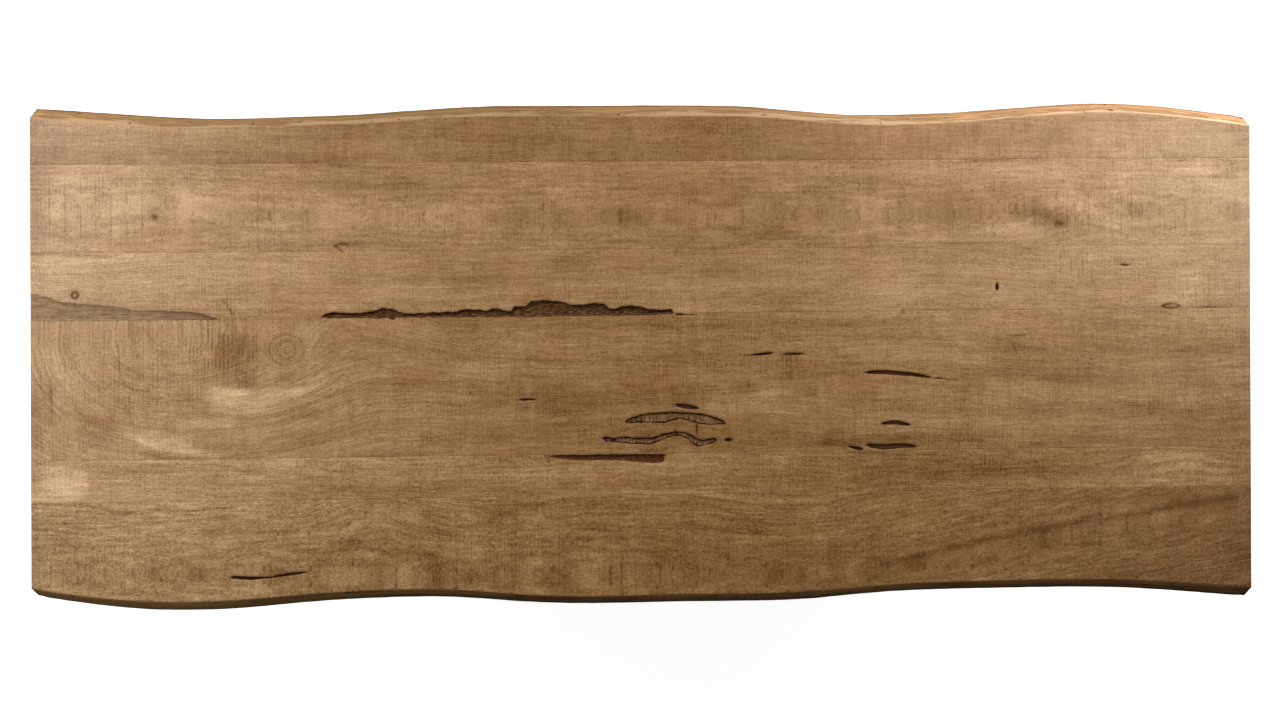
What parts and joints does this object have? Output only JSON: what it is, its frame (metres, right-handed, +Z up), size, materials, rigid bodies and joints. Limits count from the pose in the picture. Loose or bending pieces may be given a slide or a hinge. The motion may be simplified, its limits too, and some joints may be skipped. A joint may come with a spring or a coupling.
{
  "type": "dining table",
  "caption": "Rustic dining table: live-edge plank top with bark pockets on a keyed trestle base with a long stretcher, loose wedges and levelling glides.",
  "frame": {"origin": "on the floor, under the middle of the top", "axes": "+X along the table's length, +Y to its back edge, +Z up"},
  "size_m": [2.4384, 1.0159, 0.762],
  "materials": {
    "top_planks": "stained brown live-edge hardwood, satin, with fine saw marks",
    "base_timber": "stained brown sawn hardwood, satin, eased arrises",
    "keys_and_pegs": "riven hardwood, oiled, a little darker than the timbers",
    "dowels": "plain unstained fluted beech",
    "screws": "black oxide, matte",
    "glide_metal": "bright zinc plate",
    "glide_pads": "matte black nylon"
  },
  "bodies": {
    "root": {"plank_1": "top_planks", "plank_2": "top_planks", "plank_3": "top_planks", "plank_4": "top_planks", "plank_5": "top_planks", "plank_6": "top_planks", "centre_cleat": "base_timber", "stretcher": "base_timber", "left_bearer": "base_timber", "left_foot": "base_timber", "left_rail": "base_timber", "left_front_post": "base_timber", "left_back_post": "base_timber", "right_bearer": "base_timber", "right_foot": "base_timber", "right_rail": "base_timber", "right_front_post": "base_timber", "right_back_post": "base_timber", "left_foot_pegs": "keys_and_pegs", "left_bearer_pegs": "keys_and_pegs", "left_rail_pegs": "keys_and_pegs", "right_foot_pegs": "keys_and_pegs", "right_bearer_pegs": "keys_and_pegs", "right_rail_pegs": "keys_and_pegs", "edge_dowels": "dowels", "lag_screws": "screws", "lag_washers": "screws", "tee_nuts": "glide_metal"},
    "left_wedge": {"left_wedge": "keys_and_pegs"},
    "right_wedge": {"right_wedge": "keys_and_pegs"},
    "left_front_glide_pad": {"left_front_glide_pad": "glide_pads"},
    "left_front_glide_stem": {"left_front_glide_stem": "glide_metal"},
    "left_back_glide_pad": {"left_back_glide_pad": "glide_pads"},
    "left_back_glide_stem": {"left_back_glide_stem": "glide_metal"},
    "right_front_glide_pad": {"right_front_glide_pad": "glide_pads"},
    "right_front_glide_stem": {"right_front_glide_stem": "glide_metal"},
    "right_back_glide_pad": {"right_back_glide_pad": "glide_pads"},
    "right_back_glide_stem": {"right_back_glide_stem": "glide_metal"}
  },
  "joints": [
    {"name": "left_wedge_lift", "type": "slide", "parent": "root", "child": "left_wedge", "axis": [0, 0, 1], "range_m": [0, 0.16]},
    {"name": "right_wedge_lift", "type": "slide", "parent": "root", "child": "right_wedge", "axis": [0, 0, 1], "range_m": [0, 0.16]},
    {"name": "left_front_glide_height", "type": "slide", "parent": "root", "child": "left_front_glide_pad", "axis": [0, 0, -1], "range_m": [0, 0.012]},
    {"name": "left_front_stem_turn", "type": "hinge", "parent": "left_front_glide_pad", "child": "left_front_glide_stem", "pos_m": [-0.79, -0.365, 0.009], "axis": [0, 0, -1], "range_deg": [0, 2880.5]},
    {"name": "left_back_glide_height", "type": "slide", "parent": "root", "child": "left_back_glide_pad", "axis": [0, 0, -1], "range_m": [0, 0.012]},
    {"name": "left_back_stem_turn", "type": "hinge", "parent": "left_back_glide_pad", "child": "left_back_glide_stem", "pos_m": [-0.79, 0.365, 0.009], "axis": [0, 0, -1], "range_deg": [0, 2880.5]},
    {"name": "right_front_glide_height", "type": "slide", "parent": "root", "child": "right_front_glide_pad", "axis": [0, 0, -1], "range_m": [0, 0.012]},
    {"name": "right_front_stem_turn", "type": "hinge", "parent": "right_front_glide_pad", "child": "right_front_glide_stem", "pos_m": [0.79, -0.365, 0.009], "axis": [0, 0, -1], "range_deg": [0, 2880.5]},
    {"name": "right_back_glide_height", "type": "slide", "parent": "root", "child": "right_back_glide_pad", "axis": [0, 0, -1], "range_m": [0, 0.012]},
    {"name": "right_back_stem_turn", "type": "hinge", "parent": "right_back_glide_pad", "child": "right_back_glide_stem", "pos_m": [0.79, 0.365, 0.009], "axis": [0, 0, -1], "range_deg": [0, 2880.5]}
  ],
  "couplings": [
    {"joint": "left_front_stem_turn", "follows": "left_front_glide_height", "rad_per_m": 4188.8},
    {"joint": "left_back_stem_turn", "follows": "left_back_glide_height", "rad_per_m": 4188.8},
    {"joint": "right_front_stem_turn", "follows": "right_front_glide_height", "rad_per_m": 4188.8},
    {"joint": "right_back_stem_turn", "follows": "right_back_glide_height", "rad_per_m": 4188.8}
  ]
}
